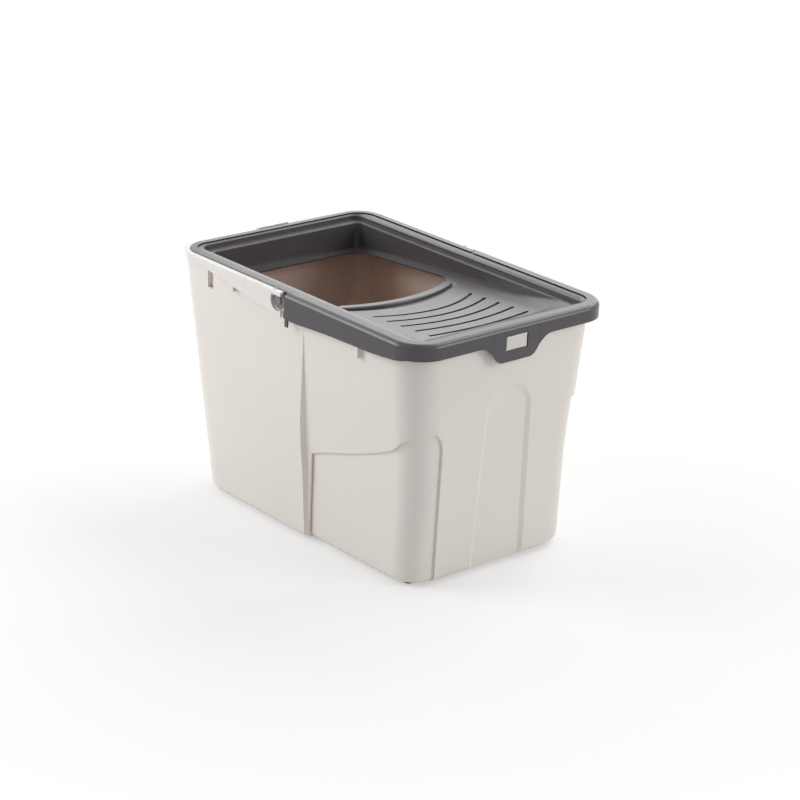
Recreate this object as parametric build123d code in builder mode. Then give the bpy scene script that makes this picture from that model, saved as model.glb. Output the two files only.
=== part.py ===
from build123d import *
import math
import os

# Lidded litter tray with a top entry. X runs from the rear to the latch at the front,
# Y across, Z up from the ground. All sizes are in millimetres.

# Overall size and the rim that the lid and the handle share
LENGTH = 585.0
WIDTH = 390.0
RIM_TOP = 395.0
RIM_CORNER = 50.0

HALF_L = LENGTH / 2
HALF_W = WIDTH / 2

# Tub
TUB_WALL = 3.0
TUB_BASE = 6.0
TUB_TOP = 392.1
TUB_TOP_SETBACK_X = 12.0
TUB_TOP_SETBACK_Y = 11.5
TUB_END_DRAFT = 15.0
TUB_SIDE_DRAFT = 18.5
TUB_TOP_CORNER = 40.0
TUB_BASE_CORNER = 60.0
TUB_BASE_ROUND = ((0.0, 6.0), (3.5, 1.8), (9.0, 0.0))
CREASE_END_X = 31.0
# Set-back of the front half's sides behind the crease: height and depth
CREASE_STEPS = ((345.0, 0.0), (150.0, 7.0), (TUB_BASE, 3.0))
# Rear edge of the crease's slanted face: x and height
CREASE_EDGE = ((25.0, 345.0), (15.5, 200.0), (13.0, 150.0), (18.0, 120.0), (19.0, 0.0))

# Niches sunk in the tub's front
NICHE_DEPTH = 4.0
NICHE_SLOPE = 8.0
ARCH_HALF_WIDTH = 48.0
ARCH_BOTTOM = 24.0
ARCH_TOP = 296.0
CORNER_NICHE_EDGE = 114.0
CORNER_NICHE_LEAN = 18.0
CORNER_NICHE_TOP = 252.0

# Feet
FOOT_SIZE = (30.0, 20.0)
FOOT_CORNER = 6.0
FOOT_X = (-190.0, 225.0)
FOOT_Y = 134.0

# Handle and its pivot
PIVOT_X = -24.0
PIVOT_Z = 379.0
HANDLE_TOP = 393.4
HANDLE_WEB = 3.5
HANDLE_FLANGE = 8.0
HANDLE_FLANGE_DEPTH = 3.0
HANDLE_END_X = -15.5
JAW_END_X = -17.0
JAW_BOTTOM = 386.5
EYE_WINDOW_R = 16.0
GRIP_LENGTH = 60.0
GRIP_RISE = 3.0
SHANK_R = 5.0
SHANK_PLAY = 0.05
EYE_R = 12.5
EYE_THICK = 2.8
BOSS_R = 6.5
BOSS_REACH = 3.4
STUD_HEAD_R = 13.0
STUD_HEAD_THICK = 1.0
STUD_HUB_R = 6.5
STUD_HUB_RISE = 2.2
FACE_GAP = 0.3

# Lid
LID_WALL = 2.7
SKIRT_WALL = 2.5
SKIRT_REAR_X = -5.5
LOBE_REAR_X = -9.2
HANDLE_GAP = 0.5
LIP_WALL = 2.5
LIP_BOTTOM = 386.5
RIM_FLAT = 17.5
DISH_SLOPE_RUN = 17.0
CREST_FOOT = 384.0
CREST_TOP = 386.2
CREST_WIDTH = 6.0
WELL_REAR = -254.0
WELL_FRONT = 246.0
WELL_HALF_WIDTH = 152.5
WELL_CORNER = 45.0
WELL_DRAFT = 5.0
FLOOR_X = 68.0
FLOOR_Z = 362.5
FLOOR_RISE = 0.0585
PAD_RISE = 2.5
PAD_HALF_WIDTH = 102.0
PAD_REAR = 79.0
PAD_REAR_SAG = 25.0
PAD_FRONT = 222.0
GROOVE_WIDTH = 7.0
GROOVE_COUNT = 5
HOLE_REAR = -230.0
HOLE_FRONT = 32.0
HOLE_FRONT_SAG = 38.0
HOLE_REAR_HALF = 110.0
HOLE_MID_HALF = 129.0
HOLE_FRONT_HALF = 118.0
HOLE_REAR_R = 35.0
THRESHOLD_WIDTH = 13.0
THRESHOLD_RISE = 5.0

# Latch
TAB_HALF_WIDTH = 46.0
TAB_BOTTOM = 341.0
TAB_GAP = 0.4
HINGE_LINE_Z = 389.5
TAB_TOP = 387.5
WINDOW_HALF = 22.0
WINDOW_BOTTOM = 357.0
WINDOW_TOP = 382.0
CATCH_PLAY = 2.0

TUB_HALF_X = HALF_L - TUB_TOP_SETBACK_X
TUB_HALF_Y = HALF_W - TUB_TOP_SETBACK_Y
TUB_RISE = TUB_TOP - TUB_BASE
END_LEAN = math.atan2(TUB_END_DRAFT, TUB_RISE)
FLOOR_ANGLE = math.atan(FLOOR_RISE)
FLOOR_PLANE = Plane(
    origin=(FLOOR_X, 0, FLOOR_Z),
    x_dir=(math.cos(FLOOR_ANGLE), 0, math.sin(FLOOR_ANGLE)),
    z_dir=(-math.sin(FLOOR_ANGLE), 0, math.cos(FLOOR_ANGLE)),
)


def floor_u(x):
    """Place along the ramp's tilted plane that lies over or under x."""
    return (x - FLOOR_X) / math.cos(FLOOR_ANGLE)


def floor_height(x):
    """Height of the ramp's floor at x."""
    return FLOOR_Z + FLOOR_RISE * (x - FLOOR_X)


def block(x_range, y_range, z_range):
    """Plain block between two planes on each axis."""
    with BuildPart(Plane.XY.offset(z_range[0])) as form:
        with BuildSketch(Plane.XY.offset(z_range[0])):
            with Locations(((x_range[0] + x_range[1]) / 2, (y_range[0] + y_range[1]) / 2)):
                Rectangle(x_range[1] - x_range[0], y_range[1] - y_range[0])
        extrude(amount=z_range[1] - z_range[0])
    return form.part


def rim_prism(inset, z_low, z_high):
    """Solid of the rim's outline, drawn in by inset, between two heights."""
    with BuildPart() as form:
        with BuildSketch(Plane.XY.offset(z_low)):
            RectangleRounded(LENGTH - 2 * inset, WIDTH - 2 * inset, RIM_CORNER - inset)
        extrude(amount=z_high - z_low)
    return form.part


def crease_step(z):
    """Set-back of the front half's sides at a height, straight between its stations."""
    for (upper, upper_step), (lower, lower_step) in zip(CREASE_STEPS, CREASE_STEPS[1:]):
        if lower <= z <= upper:
            share = (z - lower) / (upper - lower)
            return lower_step + share * (upper_step - lower_step)
    return 0.0


def tub_levels(inset):
    """Heights at which the tub's sections are drawn, each with its draw-in at the base."""
    round_levels = [(TUB_BASE + inset + rise, draw_in) for rise, draw_in in TUB_BASE_ROUND]
    return [*round_levels, (CREASE_STEPS[1][0], 0.0), (CREASE_STEPS[0][0], 0.0), (TUB_TOP, 0.0)]


def tub_loft(inset, depth, stepped):
    """Tapered body, inset inside its outer face, its sides depth deeper still."""
    with BuildPart() as form:
        for z, draw_in in tub_levels(inset):
            drop = (TUB_TOP - z) / TUB_RISE
            step = crease_step(z) if stepped else 0.0
            wall_inset = inset + depth + draw_in
            half_x = TUB_HALF_X - TUB_END_DRAFT * drop - wall_inset
            half_y = TUB_HALF_Y - TUB_SIDE_DRAFT * drop - wall_inset - step
            corner = TUB_TOP_CORNER + (TUB_BASE_CORNER - TUB_TOP_CORNER) * drop - wall_inset
            with BuildSketch(Plane.XY.offset(z)):
                RectangleRounded(2 * half_x, 2 * half_y, corner)
        loft(ruled=True)
    return form.part


def crease_wedge(inset, side):
    """Slanted face of the crease: from the rear half's side in to the front half's."""
    with BuildPart() as form:
        for (x, edge_z), z in zip(CREASE_EDGE, [edge_z for x, edge_z in CREASE_EDGE]):
            z = max(z, TUB_BASE + inset)
            face = TUB_HALF_Y - TUB_SIDE_DRAFT * (TUB_TOP - z) / TUB_RISE - inset
            with BuildSketch(Plane.XY.offset(z)):
                with BuildLine():
                    Polyline(
                        (x, side * face), (CREASE_END_X, side * (face - crease_step(z))),
                        (CREASE_END_X, side * (face - 30)), (x, side * (face - 30)), close=True,
                    )
                make_face()
        loft(ruled=True)
    return form.part


def rear_region():
    """Everything behind the crease's slanted face, in the side view."""
    with BuildPart() as form:
        with BuildSketch(Plane.XZ.offset(-WIDTH)):
            with BuildLine():
                Polyline(
                    (CREASE_END_X, 2 * RIM_TOP), (CREASE_END_X, CREASE_EDGE[0][1]), *CREASE_EDGE,
                    (-LENGTH, CREASE_EDGE[-1][1]), (-LENGTH, 2 * RIM_TOP), close=True,
                )
            make_face()
        extrude(amount=2 * WIDTH)
    return form.part


def tub_form(inset, depth=0.0):
    """The tub's whole body: a plain rear and a front whose sides step in below a crease."""
    front = block((CREASE_END_X, LENGTH), (-WIDTH, WIDTH), (0, 2 * RIM_TOP))
    middle = block((0, CREASE_END_X), (-WIDTH, WIDTH), (0, 2 * RIM_TOP))
    stepped = tub_loft(inset, depth, True)
    with BuildPart() as form:
        add(tub_loft(inset, depth, False) & rear_region())
        add(stepped & front)
        add(stepped & middle)
        for side in (-1, 1):
            add(crease_wedge(inset + depth, side))
    return form.part


FRONT_PLANE = Plane(
    origin=(TUB_HALF_X - TUB_END_DRAFT, 0, TUB_BASE),
    x_dir=(0, 1, 0),
    z_dir=(math.cos(END_LEAN), 0, -math.sin(END_LEAN)),
)


def arch_outline(margin):
    """Outline of the front arch on the tub's front face, drawn in by margin."""
    half = ARCH_HALF_WIDTH - margin
    low = ARCH_BOTTOM - TUB_BASE + margin
    high = ARCH_TOP - TUB_BASE - margin
    shoulder = high - 0.45 * half
    with BuildSketch() as outline:
        with BuildLine():
            Polyline((-half, shoulder), (-half, low), (half, low), (half, shoulder))
            ThreePointArc((half, shoulder), (0, high), (-half, shoulder))
        make_face()
    return outline.sketch


def arch_form(grow):
    """Solid that sinks the front arch, with sloped sides; grow fits it to the wall's inside."""
    with BuildPart() as form:
        with BuildSketch(FRONT_PLANE.offset(0.5)):
            add(arch_outline(-grow))
        with BuildSketch(FRONT_PLANE.offset(-NICHE_DEPTH - grow)):
            add(arch_outline(NICHE_SLOPE - grow))
        loft(ruled=True)
    return form.part


def corner_region(side, grow):
    """Region of a front corner niche: below a wave on the long side, outside a leaning edge."""
    wave = [
        (CREASE_END_X, 145), (60, 156), (99, 168), (152, 186), (193, 202),
        (223, 216), (252, CORNER_NICHE_TOP - 12), (HALF_L + 10, CORNER_NICHE_TOP),
    ]
    with BuildPart() as form:
        with BuildSketch(Plane.XZ.offset(-WIDTH)):
            with BuildLine():
                Spline(*[(x, z + grow) for x, z in wave])
                Polyline(
                    (wave[-1][0], wave[-1][1] + grow), (wave[-1][0], -10),
                    (wave[0][0], -10), (wave[0][0], wave[0][1] + grow),
                )
            make_face()
        extrude(amount=2 * WIDTH)
        with BuildSketch(Plane.YZ.offset(-LENGTH)):
            with BuildLine():
                Polyline(
                    (side * (CORNER_NICHE_EDGE - grow), -20),
                    (side * (CORNER_NICHE_EDGE - grow + CORNER_NICHE_LEAN), CORNER_NICHE_TOP + 20),
                    (side * WIDTH, CORNER_NICHE_TOP + 20), (side * WIDTH, -20), close=True,
                )
            make_face()
        extrude(amount=2 * LENGTH, mode=Mode.INTERSECT)
    return form.part


def corner_form(side, inset):
    """Solid that sinks one front corner niche down to a skin that lies NICHE_DEPTH deep."""
    with BuildPart() as form:
        add(corner_region(side, inset))
        add(tub_form(inset, NICHE_DEPTH), mode=Mode.SUBTRACT)
    return form.part


def sunk_tub(inset):
    """Tub body with the arch and the corner niches sunk, for the outside or the inside."""
    with BuildPart() as form:
        add(tub_form(inset))
        add(arch_form(inset), mode=Mode.SUBTRACT)
        for side in (-1, 1):
            add(corner_form(side, inset), mode=Mode.SUBTRACT)
    return form.part


# Gussets under the rim on the long sides: x range, bottom, top, outer face
GUSSET_REACH = 190.0
GUSSETS = [
    ((-199.0, -187.0), 364.0, 386.0), ((-144.0, -140.5), 368.0, 386.0),
    ((-9.0, -1.0), 340.0, 362.0), ((162.0, 175.0), 345.0, TUB_TOP),
]
GUSSET_SLOPE = 6.0


def gusset(x_range, z_low, z_high, side):
    """Upright rib between the tub's wall and the overhanging rim."""
    root = side * (TUB_HALF_Y - TUB_SIDE_DRAFT - TUB_WALL)
    reach = side * GUSSET_REACH
    with BuildPart() as form:
        with BuildSketch(Plane.YZ.offset(x_range[0])):
            with BuildLine():
                Polyline(
                    (root, z_low), (reach - side * GUSSET_SLOPE, z_low),
                    (reach, z_low + GUSSET_SLOPE), (reach, z_high), (root, z_high), close=True,
                )
            make_face()
        extrude(amount=x_range[1] - x_range[0])
    return form.part


# Tub
with BuildPart() as tub:
    add(sunk_tub(0))
    for side in (-1, 1):
        for x_range, z_low, z_high in GUSSETS:
            add(gusset(x_range, z_low, z_high, side))
        with BuildSketch(Plane.XZ.offset(-side * (TUB_HALF_Y + BOSS_REACH))):
            with Locations((PIVOT_X, PIVOT_Z)):
                Circle(BOSS_R)
        extrude(amount=side * (BOSS_REACH + TUB_WALL))
    add(sunk_tub(TUB_WALL), mode=Mode.SUBTRACT)
    add(block((-LENGTH, LENGTH), (-WIDTH, WIDTH), (TUB_TOP, 2 * RIM_TOP)), mode=Mode.SUBTRACT)
    with BuildSketch(Plane.XZ.offset(-WIDTH)):
        with Locations((PIVOT_X, PIVOT_Z)):
            Circle(SHANK_R + SHANK_PLAY / 2)
    extrude(amount=2 * WIDTH, mode=Mode.SUBTRACT)
tub.part.label = "tub"

# Feet
feet = []
for end, x in zip(("rear", "front"), FOOT_X):
    for side_name, side in (("near", -1), ("far", 1)):
        with BuildPart() as foot:
            with BuildSketch():
                with Locations((x, side * FOOT_Y)):
                    RectangleRounded(*FOOT_SIZE, FOOT_CORNER)
            extrude(amount=TUB_BASE)
            chamfer(foot.faces().sort_by(Axis.Z)[0].edges(), 1.0)
        foot.part.label = f"foot_{side_name}_{end}"
        feet.append(foot)


def pivot_stud(side):
    """Stud that holds one arm of the handle: shank through the wall, thin head, raised hub."""
    boss_face = TUB_HALF_Y + BOSS_REACH
    head_face = boss_face + 2 * FACE_GAP + EYE_THICK
    with BuildPart() as form:
        for radius, start, end in (
            (SHANK_R, TUB_HALF_Y - TUB_WALL, head_face),
            (STUD_HEAD_R, head_face, head_face + STUD_HEAD_THICK),
            (STUD_HUB_R, head_face + STUD_HEAD_THICK, head_face + STUD_HEAD_THICK + STUD_HUB_RISE),
        ):
            with BuildSketch(Plane.XZ.offset(-side * start)):
                with Locations((PIVOT_X, PIVOT_Z)):
                    Circle(radius)
            extrude(amount=-side * (end - start))
    return form


# Pivot studs
near_stud = pivot_stud(-1)
near_stud.part.label = "pivot_stud_near"
far_stud = pivot_stud(1)
far_stud.part.label = "pivot_stud_far"

# Carry handle
EYE_INNER = TUB_HALF_Y + BOSS_REACH + FACE_GAP
ARM_LOWER_EDGE = [
    (HANDLE_END_X, 355.0), (-60.0, 360.0), (-120.0, 368.5), (-182.0, 377.0), (-228.0, 385.0),
]
HANDLE_REAR_BOTTOM = 386.0
NECK_R = 20.0
NECK_ROOT_R = 14.0
NECK_ANGLES = (125.0, 165.0)
HANDLE_OUTER_EDGE = 2.0


def neck(y_low, y_high, inner_r):
    """Sector of a disc round the pivot that joins the eye plate to the arm."""
    with BuildPart() as form:
        with BuildSketch(Plane.XZ.offset(-y_low)):
            with BuildLine():
                start, end = (math.radians(angle) for angle in NECK_ANGLES)
                middle = (start + end) / 2
                points = {}
                for name, radius, angle in (
                    ("a", inner_r, start), ("b", NECK_R, start), ("c", NECK_R, middle),
                    ("d", NECK_R, end), ("e", inner_r, end),
                ):
                    points[name] = (
                        PIVOT_X + radius * math.cos(angle), PIVOT_Z + radius * math.sin(angle)
                    )
                Line(points["a"], points["b"])
                ThreePointArc(points["b"], points["c"], points["d"])
                Polyline(points["d"], points["e"], points["a"])
            make_face()
        extrude(amount=-(y_high - y_low))
    return form.part


with BuildPart() as handle:
    # Band: web and top flange of a U that follows the rim round the rear
    add(rim_prism(0, PIVOT_Z - 2 * EYE_WINDOW_R, HANDLE_TOP))
    fillet(handle.faces().sort_by(Axis.Z)[-1].edges(), HANDLE_OUTER_EDGE)
    add(
        rim_prism(HANDLE_WEB, 0, HANDLE_TOP - HANDLE_FLANGE_DEPTH), mode=Mode.SUBTRACT
    )
    add(rim_prism(HANDLE_FLANGE, 0, 2 * RIM_TOP), mode=Mode.SUBTRACT)
    # Side view of the arms: wide at the pivot, narrow at the rear
    with BuildSketch(Plane.XZ.offset(-WIDTH)):
        with BuildLine():
            Spline(*ARM_LOWER_EDGE)
            Polyline(
                ARM_LOWER_EDGE[-1], (-HALF_L - 5, HANDLE_REAR_BOTTOM), (-HALF_L - 5, RIM_TOP),
                (JAW_END_X, RIM_TOP), (JAW_END_X, JAW_BOTTOM), (HANDLE_END_X, JAW_BOTTOM),
                ARM_LOWER_EDGE[0],
            )
        make_face()
        with Locations((PIVOT_X, PIVOT_Z)):
            Circle(EYE_WINDOW_R, mode=Mode.SUBTRACT)
        with Locations(((JAW_END_X + PIVOT_X) / 2 - 8, (JAW_BOTTOM + RIM_TOP) / 2)):
            Rectangle(JAW_END_X - PIVOT_X + 16, RIM_TOP - JAW_BOTTOM)
    extrude(amount=2 * WIDTH, mode=Mode.INTERSECT)
    with BuildSketch(Plane.XZ.offset(-HALF_W + HANDLE_WEB)):
        with Locations((PIVOT_X, PIVOT_Z)):
            Circle(STUD_HEAD_R + 2 * FACE_GAP)
    extrude(amount=WIDTH - 2 * HANDLE_WEB, mode=Mode.SUBTRACT)
    # Eyes on the studs
    for side in (-1, 1):
        y_low = EYE_INNER if side > 0 else -EYE_INNER - EYE_THICK
        with BuildSketch(Plane.XZ.offset(-y_low)):
            with Locations((PIVOT_X, PIVOT_Z)):
                Circle(EYE_R)
        extrude(amount=-EYE_THICK)
        add(neck(y_low, y_low + EYE_THICK, SHANK_R))
        web_low = EYE_INNER if side > 0 else -HALF_W + HANDLE_WEB
        web_high = HALF_W - HANDLE_WEB if side > 0 else -EYE_INNER
        add(neck(web_low, web_high, EYE_WINDOW_R - 1.5))
        with BuildSketch(Plane.XZ.offset(-y_low)):
            with Locations((PIVOT_X, PIVOT_Z)):
                Circle(SHANK_R + SHANK_PLAY)
        extrude(amount=-EYE_THICK, mode=Mode.SUBTRACT)
    # Grip hump at the middle of the rear bar
    with BuildSketch(Plane.YZ.offset(-HALF_L + 0.4)):
        with Locations((0, HANDLE_TOP + GRIP_RISE / 2 - 1)):
            RectangleRounded(GRIP_LENGTH, GRIP_RISE + 2, 2.0)
    extrude(amount=HANDLE_FLANGE - 0.8)
handle.part.label = "carry_handle"


def well_form(grow):
    """Space of the funnel above the tilted floor; grown, it is the moulding's outer face."""
    with BuildPart() as form:
        for z, draft in ((CREST_FOOT + 3, 0.0), (CREST_FOOT, 0.0), (CREST_FOOT - 60, WELL_DRAFT)):
            with BuildSketch(Plane.XY.offset(z)):
                with Locations(((WELL_REAR + WELL_FRONT) / 2, 0)):
                    RectangleRounded(
                        WELL_FRONT - WELL_REAR - 2 * draft + 2 * grow,
                        2 * (WELL_HALF_WIDTH - draft + grow), WELL_CORNER - draft + grow,
                    )
        loft(ruled=True)
        split(bisect_by=FLOOR_PLANE.offset(-grow), keep=Keep.TOP)
        for side in (-1, 1):
            add(side_slope(side, grow), mode=Mode.SUBTRACT)
        add(front_slope(grow), mode=Mode.SUBTRACT)
    return form.part


SLOPE_STATIONS = ((-256.0, 118.0, 3.0), (60.0, 106.0, 7.0), (248.0, PAD_HALF_WIDTH, 14.0))


def side_slope(side, drop):
    """Wedge between the ramp's floor and the long wall, steeper towards the front."""
    with BuildPart() as form:
        for x, foot, rise in SLOPE_STATIONS:
            floor = floor_height(x) - drop
            wall = WELL_HALF_WIDTH + 10
            reach = rise * (wall - foot) / (WELL_HALF_WIDTH - foot)
            with BuildSketch(Plane.YZ.offset(x)):
                with BuildLine():
                    Polyline(
                        (side * foot, floor), (side * wall, floor + reach),
                        (side * wall, floor - 9), (side * foot, floor - 9), close=True,
                    )
                make_face()
        loft(ruled=True)
    return form.part


def front_slope(drop):
    """Wedge that rises from the pad's front edge to the front strip."""
    with BuildPart() as form:
        with BuildSketch(Plane.XZ.offset(-WIDTH / 2)):
            with BuildLine():
                Polyline(
                    (PAD_FRONT + 4, floor_height(PAD_FRONT + 4) - drop),
                    (WELL_FRONT + 5, CREST_FOOT + 3 - drop),
                    (WELL_FRONT + 5, floor_height(PAD_FRONT) - 9),
                    (PAD_FRONT + 4, floor_height(PAD_FRONT) - 9), close=True,
                )
            make_face()
        extrude(amount=WIDTH)
    return form.part


def dish_form(grow, drop):
    """Space over the sloping band between the flat rim and the crest."""
    with BuildPart() as form:
        for z, inset in (
            (RIM_TOP + 1, RIM_FLAT - grow),
            (RIM_TOP - drop, RIM_FLAT - grow),
            (CREST_FOOT - drop, RIM_FLAT + DISH_SLOPE_RUN - grow),
        ):
            with BuildSketch(Plane.XY.offset(z)):
                RectangleRounded(LENGTH - 2 * inset, WIDTH - 2 * inset, RIM_CORNER - inset * 0.5)
        loft(ruled=True)
    return form.part


def floor_arc(apex, half, sag, width):
    """Curved slot on the tilted floor, bowed to the front at its middle."""
    centre_line = Edge.make_three_point_arc(
        (floor_u(apex - sag), -half), (floor_u(apex), 0), (floor_u(apex - sag), half)
    )
    SlotArc(centre_line, width)


def lid_skirt(z_low_front):
    """Hanging skirt of the front part, with its lower edge stepped in the side view."""
    with BuildPart() as form:
        add(rim_prism(0, TAB_BOTTOM, RIM_TOP))
        add(rim_prism(SKIRT_WALL, 0, 2 * RIM_TOP), mode=Mode.SUBTRACT)
        with BuildSketch(Plane.XZ.offset(-WIDTH)):
            with BuildLine():
                Polyline(
                    (SKIRT_REAR_X, RIM_TOP), (SKIRT_REAR_X, 369), (LOBE_REAR_X, 366),
                    (LOBE_REAR_X, 355), (27, 355), (84, 359), (140, 361), (194, 362),
                    (247, 367), (267, z_low_front), (HALF_L + 5, z_low_front),
                    (HALF_L + 5, RIM_TOP), close=True,
                )
            make_face()
        extrude(amount=2 * WIDTH, mode=Mode.INTERSECT)
    return form.part


TAB_OUTLINE = [(46.0, 359.0), (36.0, 346.0), (28.0, TAB_BOTTOM)]
TAB_SHOULDER = [(65.5, 371.0), (55.0, 365.0)]
SKIRT_FRONT_BOTTOM = 370.5
SKIRT_FACE_X = HALF_L - SKIRT_WALL


def hole_outline():
    """Outline of the entry hole, seen from above."""
    with BuildSketch() as outline:
        with BuildLine():
            Polyline(
                (HOLE_FRONT - HOLE_FRONT_SAG, HOLE_FRONT_HALF), (-47, HOLE_MID_HALF),
                (-152, HOLE_FRONT_HALF), (HOLE_REAR + 12, HOLE_REAR_HALF),
                (HOLE_REAR, HOLE_REAR_HALF - 30), (HOLE_REAR, -HOLE_REAR_HALF + 30),
                (HOLE_REAR + 12, -HOLE_REAR_HALF), (-152, -HOLE_FRONT_HALF),
                (-47, -HOLE_MID_HALF), (HOLE_FRONT - HOLE_FRONT_SAG, -HOLE_FRONT_HALF),
            )
            ThreePointArc(
                (HOLE_FRONT - HOLE_FRONT_SAG, -HOLE_FRONT_HALF), (HOLE_FRONT, 0),
                (HOLE_FRONT - HOLE_FRONT_SAG, HOLE_FRONT_HALF),
            )
        make_face()
    return outline.sketch


# Lid
with BuildPart() as lid:
    # Flat rim: full outline at the front, drawn in behind the handle at the rear
    front_rim = block((SKIRT_REAR_X, LENGTH), (-WIDTH, WIDTH), (0, 2 * RIM_TOP))
    rear_rim = block((-LENGTH, SKIRT_REAR_X), (-WIDTH, WIDTH), (0, 2 * RIM_TOP))
    add(rim_prism(0, RIM_TOP - LID_WALL, RIM_TOP) & front_rim)
    add(rim_prism(HANDLE_FLANGE + HANDLE_GAP, RIM_TOP - LID_WALL, RIM_TOP) & rear_rim)
    add(
        (
            rim_prism(HANDLE_FLANGE + HANDLE_GAP, LIP_BOTTOM, RIM_TOP)
            - rim_prism(HANDLE_FLANGE + HANDLE_GAP + LIP_WALL, 0, 2 * RIM_TOP)
        )
        & rear_rim
    )
    add(lid_skirt(SKIRT_FRONT_BOTTOM))
    # Sloping band and funnel, first as solids a wall thicker, then hollowed
    add(dish_form(1.5, LID_WALL))
    add(well_form(LID_WALL))
    add(dish_form(0, 0), mode=Mode.SUBTRACT)
    add(well_form(0), mode=Mode.SUBTRACT)
    add(block((-LENGTH, LENGTH), (-WIDTH, WIDTH), (RIM_TOP, RIM_TOP + 10)), mode=Mode.SUBTRACT)
    # Crest bead round the top of the funnel
    with BuildSketch(Plane.XY.offset(CREST_FOOT - 1)):
        with Locations(((WELL_REAR + WELL_FRONT) / 2, 0)):
            RectangleRounded(
                WELL_FRONT - WELL_REAR + 2 * CREST_WIDTH,
                2 * (WELL_HALF_WIDTH + CREST_WIDTH), WELL_CORNER + CREST_WIDTH,
            )
            RectangleRounded(
                WELL_FRONT - WELL_REAR, 2 * WELL_HALF_WIDTH, WELL_CORNER, mode=Mode.SUBTRACT
            )
    extrude(amount=CREST_TOP - CREST_FOOT + 1)
    # Ribbed pad on the ramp
    with BuildSketch(FLOOR_PLANE):
        with BuildLine():
            Polyline(
                (floor_u(PAD_REAR - PAD_REAR_SAG), PAD_HALF_WIDTH - 18),
                (floor_u(PAD_REAR - 8), PAD_HALF_WIDTH), (floor_u(PAD_FRONT), PAD_HALF_WIDTH),
                (floor_u(PAD_FRONT), -PAD_HALF_WIDTH),
                (floor_u(PAD_REAR - 8), -PAD_HALF_WIDTH),
                (floor_u(PAD_REAR - PAD_REAR_SAG), 18 - PAD_HALF_WIDTH),
            )
            ThreePointArc(
                (floor_u(PAD_REAR - PAD_REAR_SAG), 18 - PAD_HALF_WIDTH), (floor_u(PAD_REAR), 0),
                (floor_u(PAD_REAR - PAD_REAR_SAG), PAD_HALF_WIDTH - 18),
            )
        make_face()
        for groove in range(GROOVE_COUNT):
            apex = 107 + 26.5 * groove
            floor_arc(apex, 100, 28 - 4.6 * groove, GROOVE_WIDTH - 2)
    extrude(amount=PAD_RISE)
    # Entry hole and the threshold along its front edge
    with BuildSketch(Plane.XY.offset(FLOOR_Z - 60)):
        add(hole_outline())
    extrude(amount=80, mode=Mode.SUBTRACT)
    with BuildSketch(FLOOR_PLANE.offset(-1)):
        floor_arc(
            HOLE_FRONT + THRESHOLD_WIDTH / 2, HOLE_FRONT_HALF - 4, HOLE_FRONT_SAG - 3,
            THRESHOLD_WIDTH,
        )
    extrude(amount=THRESHOLD_RISE + 1)
    # Notch for the latch tab, and the skirt's shoulders beside it
    add(
        block(
            (SKIRT_FACE_X - 5, HALF_L + 5),
            (-TAB_HALF_WIDTH - TAB_GAP, TAB_HALF_WIDTH + TAB_GAP),
            (0, TAB_TOP + TAB_GAP + 0.1),
        ),
        mode=Mode.SUBTRACT,
    )
    for side in (-1, 1):
        edge = TAB_HALF_WIDTH + TAB_GAP
        with BuildSketch(Plane.YZ.offset(SKIRT_FACE_X)):
            with BuildLine():
                Polyline(
                    (side * edge, 359.4), (side * TAB_SHOULDER[1][0], TAB_SHOULDER[1][1]),
                    (side * TAB_SHOULDER[0][0], TAB_SHOULDER[0][1]), (side * edge, 372),
                    close=True,
                )
            make_face()
        extrude(amount=SKIRT_WALL)
lid.part.label = "lid"

# Latch tab
with BuildPart() as latch_tab:
    with BuildSketch(Plane.YZ.offset(SKIRT_FACE_X)):
        with BuildLine():
            Polyline(
                (TAB_HALF_WIDTH, TAB_TOP), *TAB_OUTLINE,
                *[(-y, z) for y, z in reversed(TAB_OUTLINE)], (-TAB_HALF_WIDTH, TAB_TOP),
                close=True,
            )
        make_face()
        fillet(vertices().filter_by(lambda v: v.Z < 350), 6.0)
        with Locations((0, (WINDOW_BOTTOM + WINDOW_TOP) / 2)):
            RectangleRounded(
                2 * WINDOW_HALF, WINDOW_TOP - WINDOW_BOTTOM, 2.0, mode=Mode.SUBTRACT
            )
    extrude(amount=SKIRT_WALL)
latch_tab.part.label = "latch_tab"

# Front catch, seated on the tub's leaning wall inside the tab's window
with BuildPart() as catch:
    with BuildSketch(Plane.XY.offset(WINDOW_BOTTOM + CATCH_PLAY)):
        with Locations((HALF_L - 10, 0)):
            Rectangle(20.0, 2 * (WINDOW_HALF - CATCH_PLAY))
    extrude(amount=WINDOW_TOP - WINDOW_BOTTOM - 2 * CATCH_PLAY)
    fillet(catch.faces().sort_by(Axis.X)[-1].edges(), 1.0)
    add(tub_form(0), mode=Mode.SUBTRACT)
catch.part.label = "front_catch"

os.makedirs("parts", exist_ok=True)
for piece in (tub, *feet, near_stud, far_stud, handle, lid, latch_tab, catch):
    export_step(piece.part, f"parts/{piece.part.label}.step")
    size = piece.part.bounding_box()
    print(f"{piece.part.label}: {piece.part.volume / 1000:.1f} cm3, {size.min} to {size.max}")
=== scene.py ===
"""Lidded litter tray with a top entry: tub, lid, latch, finishes, studio and camera."""
import logging
import math
from dataclasses import dataclass, field
from enum import Enum
from typing import Dict, List, Optional, Sequence, Tuple

import bmesh
import bpy
from mathutils import Matrix, Vector


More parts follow.
